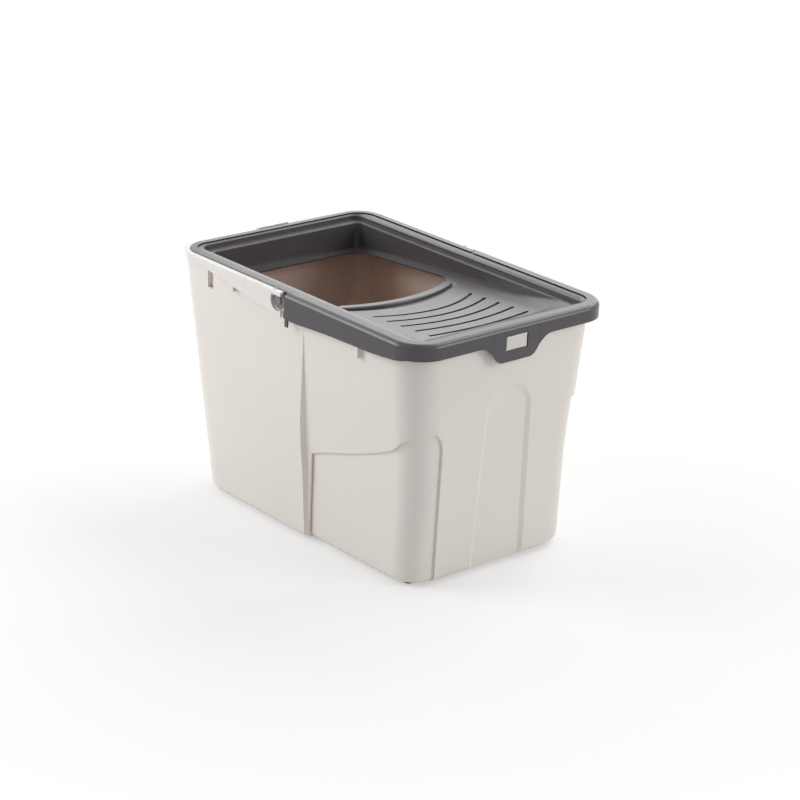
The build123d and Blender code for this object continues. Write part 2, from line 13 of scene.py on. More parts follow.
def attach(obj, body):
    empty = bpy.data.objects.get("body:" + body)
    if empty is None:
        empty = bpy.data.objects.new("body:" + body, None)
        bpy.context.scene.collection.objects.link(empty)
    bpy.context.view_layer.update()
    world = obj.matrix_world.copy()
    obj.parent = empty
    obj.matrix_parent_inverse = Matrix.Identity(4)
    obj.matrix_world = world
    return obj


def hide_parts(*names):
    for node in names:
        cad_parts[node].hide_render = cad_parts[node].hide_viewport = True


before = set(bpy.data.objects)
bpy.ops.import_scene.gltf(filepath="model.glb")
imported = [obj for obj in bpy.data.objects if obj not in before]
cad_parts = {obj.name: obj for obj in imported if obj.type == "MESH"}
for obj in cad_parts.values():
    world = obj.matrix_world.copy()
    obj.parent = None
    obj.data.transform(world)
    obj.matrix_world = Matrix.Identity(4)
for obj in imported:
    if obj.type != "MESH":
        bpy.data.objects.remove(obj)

LOG = logging.getLogger("litter_tray")
MM = 0.001
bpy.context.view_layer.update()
WHITE = (1.0, 1.0, 1.0, 1.0)

Colour = Tuple[float, float, float]
Flat = Tuple[float, float]
Outline = List[Flat]
Section = List[Tuple[float, float, float]]


class Signal:
    """A node's socket that takes part in ordinary arithmetic."""

    def __init__(self, graph: "NodeGraph", socket: bpy.types.NodeSocket) -> None:
        """Keeps the socket and the graph that new Math nodes go into."""
        self.graph = graph
        self.socket = socket

    def _math(self, operation: str, *values: object) -> "Signal":
        """Adds one Math node.

        Args:
            operation: Name of the Math node's operation.
            values: Signals or plain numbers, in the order of the node's inputs.

        Returns:
            The node's result.
        """
        inputs = {index: value for index, value in enumerate(values)}
        return self.graph.node("ShaderNodeMath", {"operation": operation}, inputs)

    def __add__(self, other: object) -> "Signal":
        """Sum of two values."""
        return self._math("ADD", self, other)

    def __sub__(self, other: object) -> "Signal":
        """Difference of two values."""
        return self._math("SUBTRACT", self, other)

    def __mul__(self, other: object) -> "Signal":
        """Product of two values."""
        return self._math("MULTIPLY", self, other)

    def __truediv__(self, other: object) -> "Signal":
        """Quotient of two values."""
        return self._math("DIVIDE", self, other)

    def clamp(self, low: float, high: float) -> "Signal":
        """Value held between two limits."""
        return self._math("MINIMUM", self._math("MAXIMUM", self, low), high)


class NodeGraph:
    """Node tree that is filled by calls, and by arithmetic on its signals."""

    def __init__(self, tree: bpy.types.NodeTree) -> None:
        """Clears the tree and keeps it."""
        self.tree = tree
        self.tree.nodes.clear()

    def node(
        self, kind: str, settings: Dict[str, object], inputs: Dict[object, object], out: object = 0
    ) -> Signal:
        """Adds one node.

        Args:
            kind: Blender's type name of the node.
            settings: Properties, set before the inputs.
            inputs: Values or signals by socket name or place.
            out: Name or place of the output to return.

        Returns:
            The chosen output as a signal.
        """
        made = self.tree.nodes.new(kind)
        for name, value in settings.items():
            setattr(made, name, value)
        for name, value in inputs.items():
            if isinstance(value, Signal):
                self.tree.links.new(value.socket, made.inputs[name])
            else:
                made.inputs[name].default_value = value
        return Signal(self, made.outputs[out])


class ShaderGraph(NodeGraph):
    """Node tree of one material."""

    output_kind = "ShaderNodeOutputMaterial"

    def __init__(self, owner: bpy.types.ID) -> None:
        """Clears the tree of a material or world and keeps it."""
        owner.use_nodes = True
        super().__init__(owner.node_tree)

    def finish(self, shader: Signal) -> None:
        """Sends a shader to the tree's output."""
        output = self.tree.nodes.new(self.output_kind)
        self.tree.links.new(shader.socket, output.inputs["Surface"])

    def ray_is(self, kind: str) -> Signal:
        """1 for the rays of one kind, such as Camera, and 0 for all others."""
        return self.node("ShaderNodeLightPath", {}, {}, f"Is {kind} Ray")

    def place(self) -> Signal:
        """Object coordinates, in metres in the row frame."""
        return self.node("ShaderNodeTexCoord", {}, {}, "Object")

    def noise(self, scale: float, detail: float, roughness: float = 0.5) -> Signal:
        """Noise over the object's coordinates, from 0 to 1.

        Args:
            scale: Features in a metre.
            detail: Octaves.
            roughness: Weight of the finer octaves.

        Returns:
            The noise's value.
        """
        inputs = {"Vector": self.place(), "Scale": scale, "Detail": detail, "Roughness": roughness}
        return self.node("ShaderNodeTexNoise", {}, inputs, 0)

    def ramp(self, value: Signal, low: float, high: float) -> Signal:
        """Straight ramp from 0 at low to 1 at high, held outside."""
        inputs = {"Value": value, "From Min": low, "From Max": high}
        return self.node("ShaderNodeMapRange", {"clamp": True}, inputs, 0)

    def mix_colour(self, share: object, first: object, second: object) -> Signal:
        """Mixes two colours.

        Args:
            share: 0 gives the first colour and 1 the second.
            first: Colour or signal.
            second: Colour or signal.

        Returns:
            The mixed colour.
        """
        settings = {"data_type": "RGBA"}
        return self.node("ShaderNodeMix", settings, {0: share, 6: first, 7: second}, 2)


class WorldGraph(ShaderGraph):
    """Node tree of the world."""

    output_kind = "ShaderNodeOutputWorld"


@dataclass(frozen=True)
class PlasticFinish:
    """Injection-moulded plastic: pigment, sheen, fine grain and slow moulding waves."""

    name: str
    colour: Colour
    roughness: float = 0.4
    mottle: float = 0.05
    roughness_spread: float = 0.06
    grain_per_metre: float = 900.0
    grain_depth: float = 0.00003
    wave_per_metre: float = 9.0
    wave_depth: float = 0.0004
    coat: float = 0.0
    dust: float = 0.0
    coat_roughness: float = 0.12
    cloud_per_metre: float = 7.0
    cloud_share: float = 0.75
    speck_per_metre: float = 160.0
    smear_per_metre: float = 30.0
    dust_per_metre: float = 45.0
    dust_colour: Colour = (0.55, 0.54, 0.52)

    def tone(self, factor: float) -> Tuple[float, float, float, float]:
        """The pigment made lighter or darker by a factor, with full alpha."""
        red, green, blue = (min(1.0, channel * factor) for channel in self.colour)
        return (red, green, blue, 1.0)

    def material(self) -> bpy.types.Material:
        """Builds the material.

        Returns:
            A node material that reads only object coordinates.
        """
        made = bpy.data.materials.new(self.name)
        graph = ShaderGraph(made)
        cloud = graph.noise(self.cloud_per_metre, 3.0)
        speck = graph.noise(self.speck_per_metre, 2.0, 0.7)
        mottled = cloud * self.cloud_share + speck * (1 - self.cloud_share)
        share = graph.ramp(mottled, 0.3, 0.7)
        colour = graph.mix_colour(share, self.tone(1 - self.mottle), self.tone(1 + self.mottle))
        if self.dust:
            patches = graph.noise(self.dust_per_metre, 5.0, 0.65)
            settled = graph.ramp(patches, 0.5, 0.78) * self.dust
            colour = graph.mix_colour(settled, colour, (*self.dust_colour, 1.0))
        smear = graph.noise(self.smear_per_metre, 4.0) - 0.5
        roughness = smear * (2 * self.roughness_spread) + self.roughness
        grain = graph.noise(self.grain_per_metre, 2.0, 0.6)
        wave = graph.noise(self.wave_per_metre, 1.0)
        waves = graph.node(
            "ShaderNodeBump", {}, {"Strength": 1.0, "Distance": self.wave_depth, "Height": wave}
        )
        surface = graph.node(
            "ShaderNodeBump", {},
            {"Strength": 1.0, "Distance": self.grain_depth, "Height": grain, "Normal": waves},
        )
        inputs = {
            "Base Color": colour, "Roughness": roughness.clamp(0.05, 1.0), "Normal": surface,
            "IOR": 1.5, "Coat Weight": self.coat, "Coat Roughness": self.coat_roughness,
        }
        graph.finish(graph.node("ShaderNodeBsdfPrincipled", {}, inputs))
        return made


class Finish(Enum):
    """The object's finishes."""

    TUB = PlasticFinish("tub_ivory_satin", (0.73, 0.687, 0.645), 0.45, 0.015)
    # Inner faces of the tub: the ivory plastic tinted darker and warmer, a painted shade of the
    # closed interior
    TUB_INSIDE_PAINTED_SHADE = PlasticFinish("tub_inside_painted_shade", (0.72, 0.56, 0.48), 0.6, 0.03)
    HANDLE = PlasticFinish("handle_ivory_gloss", (0.72, 0.695, 0.67), 0.28, 0.015, coat=0.2)
    CATCH = PlasticFinish("catch_pale_gloss", (0.62, 0.61, 0.55), 0.3, 0.015)
    LID = PlasticFinish(
        "lid_charcoal_gloss", (0.060, 0.054, 0.059), 0.31, 0.06, 0.04, 700.0, 0.000008, dust=0.02
    )
    STUD = PlasticFinish("stud_grey_satin", (0.16, 0.15, 0.16), 0.45, 0.05)
    FOOT = PlasticFinish("foot_rubber_matt", (0.025, 0.024, 0.024), 0.8, 0.12, grain_depth=0.0001)


# Overall size of the rim that the lid and the handle share, in millimetres
HALF_L = 292.5
HALF_W = 195.0
RIM_TOP = 395.0
RIM_CORNER = 50.0
LID_WALL = 2.7

# Reach of cutting tools past the object, and chords of corners, rounds, curves and slot ends
FAR = 900.0
CORNER_STEPS = 12
ROUND_STEPS = 8
CURVE_STEPS = 32
END_STEPS = 10

# Clean-up of finished meshes: weld distance in millimetres, angles in degrees
WELD = 0.01
FLAT_ANGLE = 0.2
EDGE_ANGLE = 40.0
EDGE_SEGMENTS = 2


def arc(centre: Flat, radius: float, start: float, end: float, steps: int) -> Outline:
    """Points of a circular arc.

    Args:
        centre: Centre of the circle.
        radius: Its radius.
        start: First angle in degrees.
        end: Last angle in degrees.
        steps: Number of chords.

    Returns:
        The points from start to end.
    """
    angles = [math.radians(start + (end - start) * step / steps) for step in range(steps + 1)]
    return [
        (centre[0] + radius * math.cos(angle), centre[1] + radius * math.sin(angle))
        for angle in angles
    ]


def corner_arc(reach_x: float, reach_y: float, radius: float, quarter: int) -> Outline:
    """Quarter circle in one corner of a rectangle round the origin.

    Args:
        reach_x: The corner's distance from the middle along x.
        reach_y: Its distance along y.
        radius: Radius of the quarter circle.
        quarter: 0 for the corner at high x and y, then counterclockwise.

    Returns:
        The points, counterclockwise.
    """
    x_sign = 1 if quarter in (0, 3) else -1
    y_sign = 1 if quarter in (0, 1) else -1
    centre = (x_sign * (reach_x - radius), y_sign * (reach_y - radius))
    return arc(centre, radius, 90 * quarter, 90 * quarter + 90, CORNER_STEPS)


def rounded_outline(
    rear: float, front: float, half_y: float, rear_corner: float, front_corner: float
) -> Outline:
    """Rectangle with rounded corners, seen from above.

    Args:
        rear: Reach towards the rear.
        front: Reach towards the front.
        half_y: Half of its width.
        rear_corner: Radius of the two rear corners.
        front_corner: Radius of the two front corners.

    Returns:
        Its points, counterclockwise from the near rear corner.
    """
    return [
        *corner_arc(rear, half_y, rear_corner, 2),
        *corner_arc(front, half_y, front_corner, 3),
        *corner_arc(front, half_y, front_corner, 0),
        *corner_arc(rear, half_y, rear_corner, 1),
    ]


def bow(half: float, low: float, high: float, steps: int) -> Outline:
    """Arc from (half, low) over (0, high) to (-half, low)."""
    reach = 2 * math.atan2(high - low, half)
    radius = half / math.sin(reach)
    turn = math.degrees(reach)
    return arc((0.0, high - radius), radius, 90 - turn, 90 + turn, steps)


def bend(start: Flat, corner: Flat, end: Flat, steps: int = 8) -> Outline:
    """Smooth turn from start to end inside a corner."""
    shares = [step / steps for step in range(steps + 1)]
    return [
        tuple(
            (1 - share) ** 2 * start[axis] + 2 * share * (1 - share) * corner[axis]
            + share ** 2 * end[axis]
            for axis in (0, 1)
        )
        for share in shares
    ]


def wave_through(points: Sequence[Flat], steps: int = 8) -> Outline:
    """Smooth curve through points, by Catmull and Rom's rule."""
    padded = [points[0], *points, points[-1]]
    curve: Outline = []
    for before, first, second, after in zip(padded, padded[1:], padded[2:], padded[3:]):
        for step in range(steps):
            t = step / steps
            curve.append(tuple(
                0.5 * (
                    2 * p1 + (p2 - p0) * t
                    + (2 * p0 - 5 * p1 + 4 * p2 - p3) * t ** 2
                    + (3 * p1 - p0 - 3 * p2 + p3) * t ** 3
                )
                for p0, p1, p2, p3 in zip(before, first, second, after)
            ))
    return [*curve, points[-1]]


def between(stations: Sequence[Flat], at: float) -> float:
    """Value at a place, straight between stations of place and value in falling order."""
    for (upper, upper_value), (lower, lower_value) in zip(stations, stations[1:]):
        if lower <= at <= upper:
            return lower_value + (upper_value - lower_value) * (at - lower) / (upper - lower)
    return stations[0][1] if at > stations[0][0] else stations[-1][1]


def plane(origin: Sequence[float], x_dir: Sequence[float], z_dir: Sequence[float]) -> Matrix:
    """Matrix that takes a plane's own coordinates to the row frame."""
    across = Vector(x_dir).normalized()
    normal = Vector(z_dir).normalized()
    turn = Matrix((across, normal.cross(across), normal)).transposed().to_4x4()
    return Matrix.Translation(Vector(origin)) @ turn


LEVEL = Matrix.Identity(4)
SIDE_VIEW = plane((0, 0, 0), (1, 0, 0), (0, -1, 0))
FRONT_VIEW = plane((0, 0, 0), (0, 1, 0), (1, 0, 0))


class Solid:
    """Closed mesh in millimetres; +, - and & are union, cut and common part."""

    def __init__(self, mesh: bpy.types.Mesh) -> None:
        """Keeps the mesh."""
        self.mesh = mesh

    @classmethod
    def loft(cls, sections: Sequence[Section]) -> "Solid":
        """Solid through sections with equal numbers of points.

        Args:
            sections: Closed outlines in space, one after the other.

        Returns:
            The closed solid.
        """
        count = len(sections[0])
        points = [point for section in sections for point in section]
        faces: List[Tuple[int, ...]] = [
            (
                level * count + place, level * count + (place + 1) % count,
                (level + 1) * count + (place + 1) % count, (level + 1) * count + place,
            )
            for level in range(len(sections) - 1) for place in range(count)
        ]
        faces.append(tuple(reversed(range(count))))
        faces.append(tuple(range(len(points) - count, len(points))))
        mesh = bpy.data.meshes.new("solid")
        mesh.from_pydata(points, [], faces)
        shape = bmesh.new()
        shape.from_mesh(mesh)
        bmesh.ops.remove_doubles(shape, verts=shape.verts, dist=0.001)
        bmesh.ops.triangulate(shape, faces=shape.faces)
        bmesh.ops.recalc_face_normals(shape, faces=shape.faces)
        shape.to_mesh(mesh)
        shape.free()
        return cls(mesh)

    @classmethod
    def prism(cls, outline: Outline, place: Matrix, low: float, high: float) -> "Solid":
        """Outline on a plane, drawn out between two distances from it."""
        return cls.loft(
            [[tuple(place @ Vector((u, v, w))) for u, v in outline] for w in (low, high)]
        )

    @classmethod
    def block(cls, x_range: Flat, y_range: Flat, z_range: Flat) -> "Solid":
        """Plain block between two planes on each axis."""
        corners = [
            (x_range[0], y_range[0]), (x_range[1], y_range[0]),
            (x_range[1], y_range[1]), (x_range[0], y_range[1]),
        ]
        return cls.prism(corners, LEVEL, *z_range)

    def _combine(self, other: "Solid", operation: str) -> "Solid":
        """Joins two solids with an exact Boolean modifier."""
        pair = [bpy.data.objects.new("solid", item.mesh) for item in (self, other)]
        for item in pair:
            bpy.context.scene.collection.objects.link(item)
        step = pair[0].modifiers.new("combine", "BOOLEAN")
        step.operation = operation
        step.solver = "EXACT"
        step.object = pair[1]
        graph = bpy.context.evaluated_depsgraph_get()
        mesh = bpy.data.meshes.new_from_object(pair[0].evaluated_get(graph))
        for item in pair:
            bpy.data.objects.remove(item)
        return Solid(mesh)

    def __add__(self, other: "Solid") -> "Solid":
        """Union."""
        return self._combine(other, "UNION")

    def __sub__(self, other: "Solid") -> "Solid":
        """This solid without the other."""
        return self._combine(other, "DIFFERENCE")

    def __and__(self, other: "Solid") -> "Solid":
        """What both solids hold."""
        return self._combine(other, "INTERSECT")

    def painted(self, materials: Sequence[bpy.types.Material], index: int) -> "Solid":
        """Gives all faces one of several materials, for what is cut from or with this solid."""
        self.mesh.materials.clear()
        for material in materials:
            self.mesh.materials.append(material)
        for face in self.mesh.polygons:
            face.material_index = index
        return self

    def piece(self, name: str, edge: float = 0.0, crisp: float = 20.0) -> bpy.types.Object:
        """Finished object in metres, smooth over its curves and crisp at its edges.

        Args:
            name: The piece's name.
            edge: Width of the small round on its sharp edges, in millimetres.
            crisp: Angle in degrees from which an edge stays sharp.

        Returns:
            The object, at the origin.
        """
        shape = bmesh.new()
        shape.from_mesh(self.mesh)
        bmesh.ops.remove_doubles(shape, verts=shape.verts, dist=WELD)
        bmesh.ops.dissolve_degenerate(shape, edges=shape.edges, dist=WELD)
        bmesh.ops.dissolve_limit(
            shape, angle_limit=math.radians(FLAT_ANGLE), verts=shape.verts, edges=shape.edges,
            delimit={"MATERIAL"},
        )
        shape.to_mesh(self.mesh)
        shape.free()
        self.mesh.transform(Matrix.Scale(MM, 4))
        self.mesh.shade_smooth()
        self.mesh.set_sharp_from_angle(angle=math.radians(crisp))
        raw = bpy.data.objects.new(name + "_raw", self.mesh)
        bpy.context.scene.collection.objects.link(raw)
        if edge:
            rounding = raw.modifiers.new("edges", "BEVEL")
            rounding.width = edge * MM
            rounding.segments = EDGE_SEGMENTS
            rounding.limit_method = "ANGLE"
            rounding.angle_limit = math.radians(EDGE_ANGLE)
            rounding.use_clamp_overlap = True
        normals = raw.modifiers.new("normals", "WEIGHTED_NORMAL")
        normals.keep_sharp = True
        graph = bpy.context.evaluated_depsgraph_get()
        mesh = bpy.data.meshes.new_from_object(raw.evaluated_get(graph))
        bpy.data.objects.remove(raw)
        made = bpy.data.objects.new(name, mesh)
        bpy.context.scene.collection.objects.link(made)
        LOG.info("%s: %d faces", name, len(mesh.polygons))
        return made


def hand_over(
    made: bpy.types.Object, node: str, body: str,
    finish: Optional[bpy.types.Material] = None,
) -> None:
    """Puts a finished piece in a CAD node's stead, on its body.

    Args:
        made: The piece.
        node: CAD node that it stands for.
        body: Body that it rides on.
        finish: Material, where the piece has none yet.
    """
    if finish is not None:
        made.data.materials.clear()
        made.data.materials.append(finish)
    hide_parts(node)
    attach(made, body)


def rim_solid(inset: float, low: float, high: float, radius: float = 0.0) -> Solid:
    """The rim's outline drawn in by inset, between two heights, its top edge rounded over."""
    steps = ROUND_STEPS if radius else 0
    levels = [(low, 0.0), (high - radius, 0.0)]
    for step in range(1, steps + 1):
        angle = math.pi / 2 * step / steps
        levels.append((high - radius + radius * math.sin(angle), radius * (1 - math.cos(angle))))
    sections = []
    for z, draw_in in levels:
        reach = inset + draw_in
        corner = RIM_CORNER - reach
        outline = rounded_outline(HALF_L - reach, HALF_L - reach, HALF_W - reach, corner, corner)
        sections.append([(x, y, z) for x, y in outline])
    return Solid.loft(sections)


@dataclass
class Tub:
    """Tapered tub with creased sides, a front arch, corner niches, pockets and gussets."""

    wall: float = 3.0
    base: float = 6.0
    top: float = 392.1
    half_x: float = 280.5
    half_y: float = 183.5
    front_draft: float = 15.0
    side_draft: float = 12.5
    front_corners: Flat = (52.0, 44.0)
    shoulder: Flat = (383.0, 384.8)
    rear_bulge: float = 8.0
    rear_draft: float = 38.5
    rear_corners: Flat = (25.0, 60.0)
    neck_corner: float = 40.0
    stations: Sequence[float] = (120.0, 150.0, 200.0, 345.0)
    base_round: Sequence[Flat] = ((0.0, 6.0), (1.4, 3.5), (3.5, 1.8), (6.0, 0.6), (9.0, 0.0))
    crease_steps: Sequence[Flat] = ((345.0, 0.0), (200.0, 8.5), (150.0, 10.0), (6.0, 5.5))
    crease_edge: Sequence[Flat] = (
        (345.0, 25.0), (200.0, 16.0), (150.0, 17.5), (120.0, 21.0), (6.0, 27.0)
    )
    crease_run: float = 5.0
    crease_round: float = 0.15
    niche_start: Flat = (32.0, 145.0)
    niche_end: float = HALF_L + 10
    niche_depth: float = 4.0
    niche_slope: float = 8.0
    arch_centre: float = 8.0
    arch_half: Flat = (55.0, 46.0)
    arch_shoulder: float = 258.0
    arch_top: float = 298.0
    arch_steps: int = 24
    niche_edge: Flat = (115.0, 117.5)
    niche_top: float = 252.0
    niche_round: float = 38.0
    niche_wave: Sequence[Flat] = (
        (60.0, 156.0), (99.0, 168.0), (152.0, 186.0), (193.0, 202.0), (223.0, 216.0),
        (252.0, 240.0),
    )
    pocket_x: Flat = (-214.0, -201.0)
    pocket_z: Flat = (345.0, 382.0)
    pocket_floor: float = 174.0
    gussets: Sequence[Tuple[Flat, float]] = (((-143.5, -140.2), 359.0), ((150.0, 160.0), 342.0))
    gusset_top: float = 386.0
    gusset_reach: float = 190.0
    pivot: Flat = (-24.0, 379.0)
    boss_radius: float = 6.5
    boss_reach: float = 3.4
    boss_root: float = 2.0
    smooth_below: float = 12.0

    def outline(self, z: float, inset: float, sunk: float) -> Outline:
        """Outline at one height, drawn in by inset and its front half by sunk more."""
        drop = (self.top - z) / (self.top - self.base)
        front = self.half_x - self.front_draft * drop - inset - sunk
        side = self.half_y - self.side_draft * drop - inset - sunk
        step = between(self.crease_steps, z)
        front_side = side - step
        if z > (self.shoulder[0] + self.shoulder[1]) / 2 - inset:
            rear, rear_corner = self.half_x - inset, self.neck_corner
        else:
            rear = self.half_x + self.rear_bulge - self.rear_draft * drop - inset
            start, end = self.rear_corners
            rear_corner = start + (end - start) * drop
        rear_corner = max(rear_corner - inset, 2.0)
        start, end = self.front_corners
        front_corner = max(start + (end - start) * drop - inset - sunk, 2.0)
        edge = between(self.crease_edge, z) - inset / 2
        foot, foot_y = edge + self.crease_run, front_side + self.crease_round * step
        flat = foot + 2 * self.crease_run
        return [
            *corner_arc(rear, side, rear_corner, 2),
            (edge, -side), (foot, -foot_y), (flat, -front_side),
            *corner_arc(front, front_side, front_corner, 3),
            *corner_arc(front, front_side, front_corner, 0),
            (flat, front_side), (foot, foot_y), (edge, side),
            *corner_arc(rear, side, rear_corner, 1),
        ]

    def body(self, inset: float, sunk: float = 0.0) -> Solid:
        """Plain body, inset inside its outer face; sunk deepens it for the niches."""
        levels = [(self.base + inset + rise, draw_in) for rise, draw_in in self.base_round]
        levels += [(z, 0.0) for z in self.stations]
        levels += [(z - inset, 0.0) for z in self.shoulder]
        levels.append((self.top + 2 * inset, 0.0))
        return Solid.loft(
            [
                [(x, y, z) for x, y in self.outline(z, inset + draw_in, sunk)]
                for z, draw_in in levels
            ]
        )

    def arch(self, grow: float) -> Solid:
        """Solid that sinks the front arch, with sloped sides."""
        lean = math.atan2(self.front_draft, self.top - self.base)
        face = plane(
            (self.half_x - self.front_draft, self.arch_centre, self.base), (0, 1, 0),
            (math.cos(lean), 0, -math.sin(lean)),
        )
        low = -self.base - self.niche_slope
        sections = []
        for margin, height in ((-grow, 0.5), (self.niche_slope - grow, -self.niche_depth - grow)):
            foot, half = (value - margin for value in self.arch_half)
            shoulder = self.arch_shoulder - self.base
            outline = [
                (-foot, low), (foot, low), (foot, 0.0),
                *bow(half, shoulder, self.arch_top - self.base - margin, self.arch_steps),
                (-foot, 0.0),
            ]
            sections.append([tuple(face @ Vector((u, v, height))) for u, v in outline])
        return Solid.loft(sections)

    def niche(self, side: int, inset: float) -> Solid:
        """Solid that sinks one front corner, below a wave and outside a leaning edge."""
        last = (self.niche_end, self.niche_top)
        points = (self.niche_start, *self.niche_wave, last)
        wave = wave_through([(x, z + inset) for x, z in points])
        low = -self.niche_slope
        below = [(self.niche_start[0], low), (self.niche_end, low), *reversed(wave)]
        region = Solid.prism(below, SIDE_VIEW, -FAR, FAR)
        foot, head = (edge - inset for edge in self.niche_edge)
        top = self.niche_top + inset
        reach = self.niche_round + inset
        turn = bend((head, top - reach), (head, top), (head + reach, top), CORNER_STEPS)
        outside = [(foot, low), *turn, (FAR, top), (FAR, low)]
        outside = [(side * y, z) for y, z in outside]
        region = region & Solid.prism(outside, FRONT_VIEW, -FAR, FAR)
        return region - self.body(inset, self.niche_depth)

    def sunk_body(self, inset: float) -> Solid:
        """Body with the arch, the niches and the pockets sunk, outside or inside."""
        form = self.body(inset) - self.arch(inset)
        for side in (-1, 1):
            form = form - self.niche(side, inset)
            y_range = tuple(sorted((side * (self.pocket_floor - inset), side * FAR)))
            x_range = (self.pocket_x[0] - inset, self.pocket_x[1] + inset)
            z_range = (self.pocket_z[0] - inset, self.pocket_z[1] + inset)
            form = form - Solid.block(x_range, y_range, z_range)
        return form

    def build(self, materials: Dict[Finish, bpy.types.Material]) -> None:
        """Makes the tub with its outer finish, and a darker warm brown painted shade on its inner
        faces.
        """
        pair = (materials[Finish.TUB], materials[Finish.TUB_INSIDE_PAINTED_SHADE])
        form = self.sunk_body(0.0)
        for side in (-1, 1):
            root = side * (self.half_y - self.side_draft)
            for x_range, low in self.gussets:
                y_range = tuple(sorted((root, side * self.gusset_reach)))
                form = form + Solid.block(x_range, y_range, (low, self.gusset_top))
            ring = arc(self.pivot, self.boss_radius, 0, 345, 23)
            root, tip = self.half_y - self.boss_root, self.half_y + self.boss_reach
            form = form + Solid.prism(ring, SIDE_VIEW, *sorted((-side * root, -side * tip)))
        # Inner faces take the darker warm painted shade of the closed interior; outer faces keep
        # the ivory
        form = form.painted(pair, 0) - self.sunk_body(self.wall).painted(pair, 1)
        hand_over(form.piece("tub_shell", 0.5, self.smooth_below), "tub", "tub")


@dataclass
class GrooveBars:
    """Row of curved bars on the ramp that cut the grooves, made with Geometry Nodes."""

    count: int = 5
    first: float = 115.0
    pitch: float = 26.5
    half_length: float = 98.0
    width: float = 6.0
    height: float = 6.0
    sags: Flat = (31.0, 10.0)
    points: int = 41

    def tree(self) -> bpy.types.NodeTree:
        """Node tree that lays bars in a row and bows each one to its own sag.

        Returns:
            The tree, with named inputs for its sizes.
        """
        tree = bpy.data.node_groups.new("groove_bars", "GeometryNodeTree")
        face = tree.interface
        face.new_socket("Geometry", in_out="INPUT", socket_type="NodeSocketGeometry")
        face.new_socket("Count", in_out="INPUT", socket_type="NodeSocketInt")
        for name in ("First", "Pitch", "Half Length", "Width", "Height", "First Sag", "Last Sag"):
            face.new_socket(name, in_out="INPUT", socket_type="NodeSocketFloat")
        face.new_socket("Material", in_out="INPUT", socket_type="NodeSocketMaterial")
        face.new_socket("Geometry", in_out="OUTPUT", socket_type="NodeSocketGeometry")
        graph = NodeGraph(tree)
        sockets = tree.nodes.new("NodeGroupInput").outputs
        sizes = {socket.name: Signal(graph, socket) for socket in sockets if socket.name}
        half = sizes["Half Length"]
        line = graph.node(
            "GeometryNodeMeshLine", {"mode": "OFFSET"},
            {
                "Count": sizes["Count"],
                "Start Location": graph.node("ShaderNodeCombineXYZ", {}, {"X": sizes["First"]}),
                "Offset": graph.node("ShaderNodeCombineXYZ", {}, {"X": sizes["Pitch"]}),
            },
        )
        share = graph.node("GeometryNodeInputIndex", {}, {}) / (sizes["Count"] - 1.0)
        sag = share * (sizes["Last Sag"] - sizes["First Sag"]) + sizes["First Sag"]
        marked = graph.node(
            "GeometryNodeStoreNamedAttribute", {"data_type": "FLOAT", "domain": "POINT"},
            {"Geometry": line, "Name": "sag", "Value": sag},
        )
        spans = {"X": sizes["Width"], "Y": half * 2.0, "Z": sizes["Height"]}
        size = graph.node("ShaderNodeCombineXYZ", {}, spans)
        bar = graph.node("GeometryNodeMeshCube", {}, {"Size": size, "Vertices Y": self.points})
        row = graph.node("GeometryNodeInstanceOnPoints", {}, {"Points": marked, "Instance": bar})
        loose = graph.node("GeometryNodeRealizeInstances", {}, {"Geometry": row})
        place = graph.node("GeometryNodeInputPosition", {}, {})
        reach = graph.node("ShaderNodeSeparateXYZ", {}, {0: place}, "Y") / half
        own = graph.node("GeometryNodeInputNamedAttribute", {"data_type": "FLOAT"}, {"Name": "sag"})
        shift = graph.node("ShaderNodeCombineXYZ", {}, {"X": reach * reach * (own * -1.0)})
        bowed = graph.node("GeometryNodeSetPosition", {}, {"Geometry": loose, "Offset": shift})
        dressed = graph.node(
            "GeometryNodeSetMaterial", {}, {"Geometry": bowed, "Material": sizes["Material"]}
        )
        tree.links.new(dressed.socket, tree.nodes.new("NodeGroupOutput").inputs[0])
        return tree

    def solid(self, floor: Matrix, floor_x: float, material: bpy.types.Material) -> Solid:
        """Bars standing on the ramp's plane.

        Args:
            floor: The ramp's plane.
            floor_x: Where the plane's own x is 0.
            material: Material of the bars' faces.

        Returns:
            The bars as one solid.
        """
        host = bpy.data.objects.new("groove_bars", bpy.data.meshes.new("groove_bars"))
        bpy.context.scene.collection.objects.link(host)
        step = host.modifiers.new("bars", "NODES")
        step.node_group = self.tree()
        values = {
            "Count": self.count, "First": self.first - floor_x, "Pitch": self.pitch,
            "Half Length": self.half_length, "Width": self.width, "Height": self.height,
            "First Sag": self.sags[0], "Last Sag": self.sags[1], "Material": material,
        }
        for item in step.node_group.interface.items_tree:
            if item.in_out == "INPUT" and item.name in values:
                step[item.identifier] = values[item.name]
        graph = bpy.context.evaluated_depsgraph_get()
        mesh = bpy.data.meshes.new_from_object(host.evaluated_get(graph))
        host.modifiers.remove(step)
        bpy.data.objects.remove(host)
        mesh.transform(floor @ Matrix.Translation((0, 0, self.height / 2)))
        return Solid(mesh)


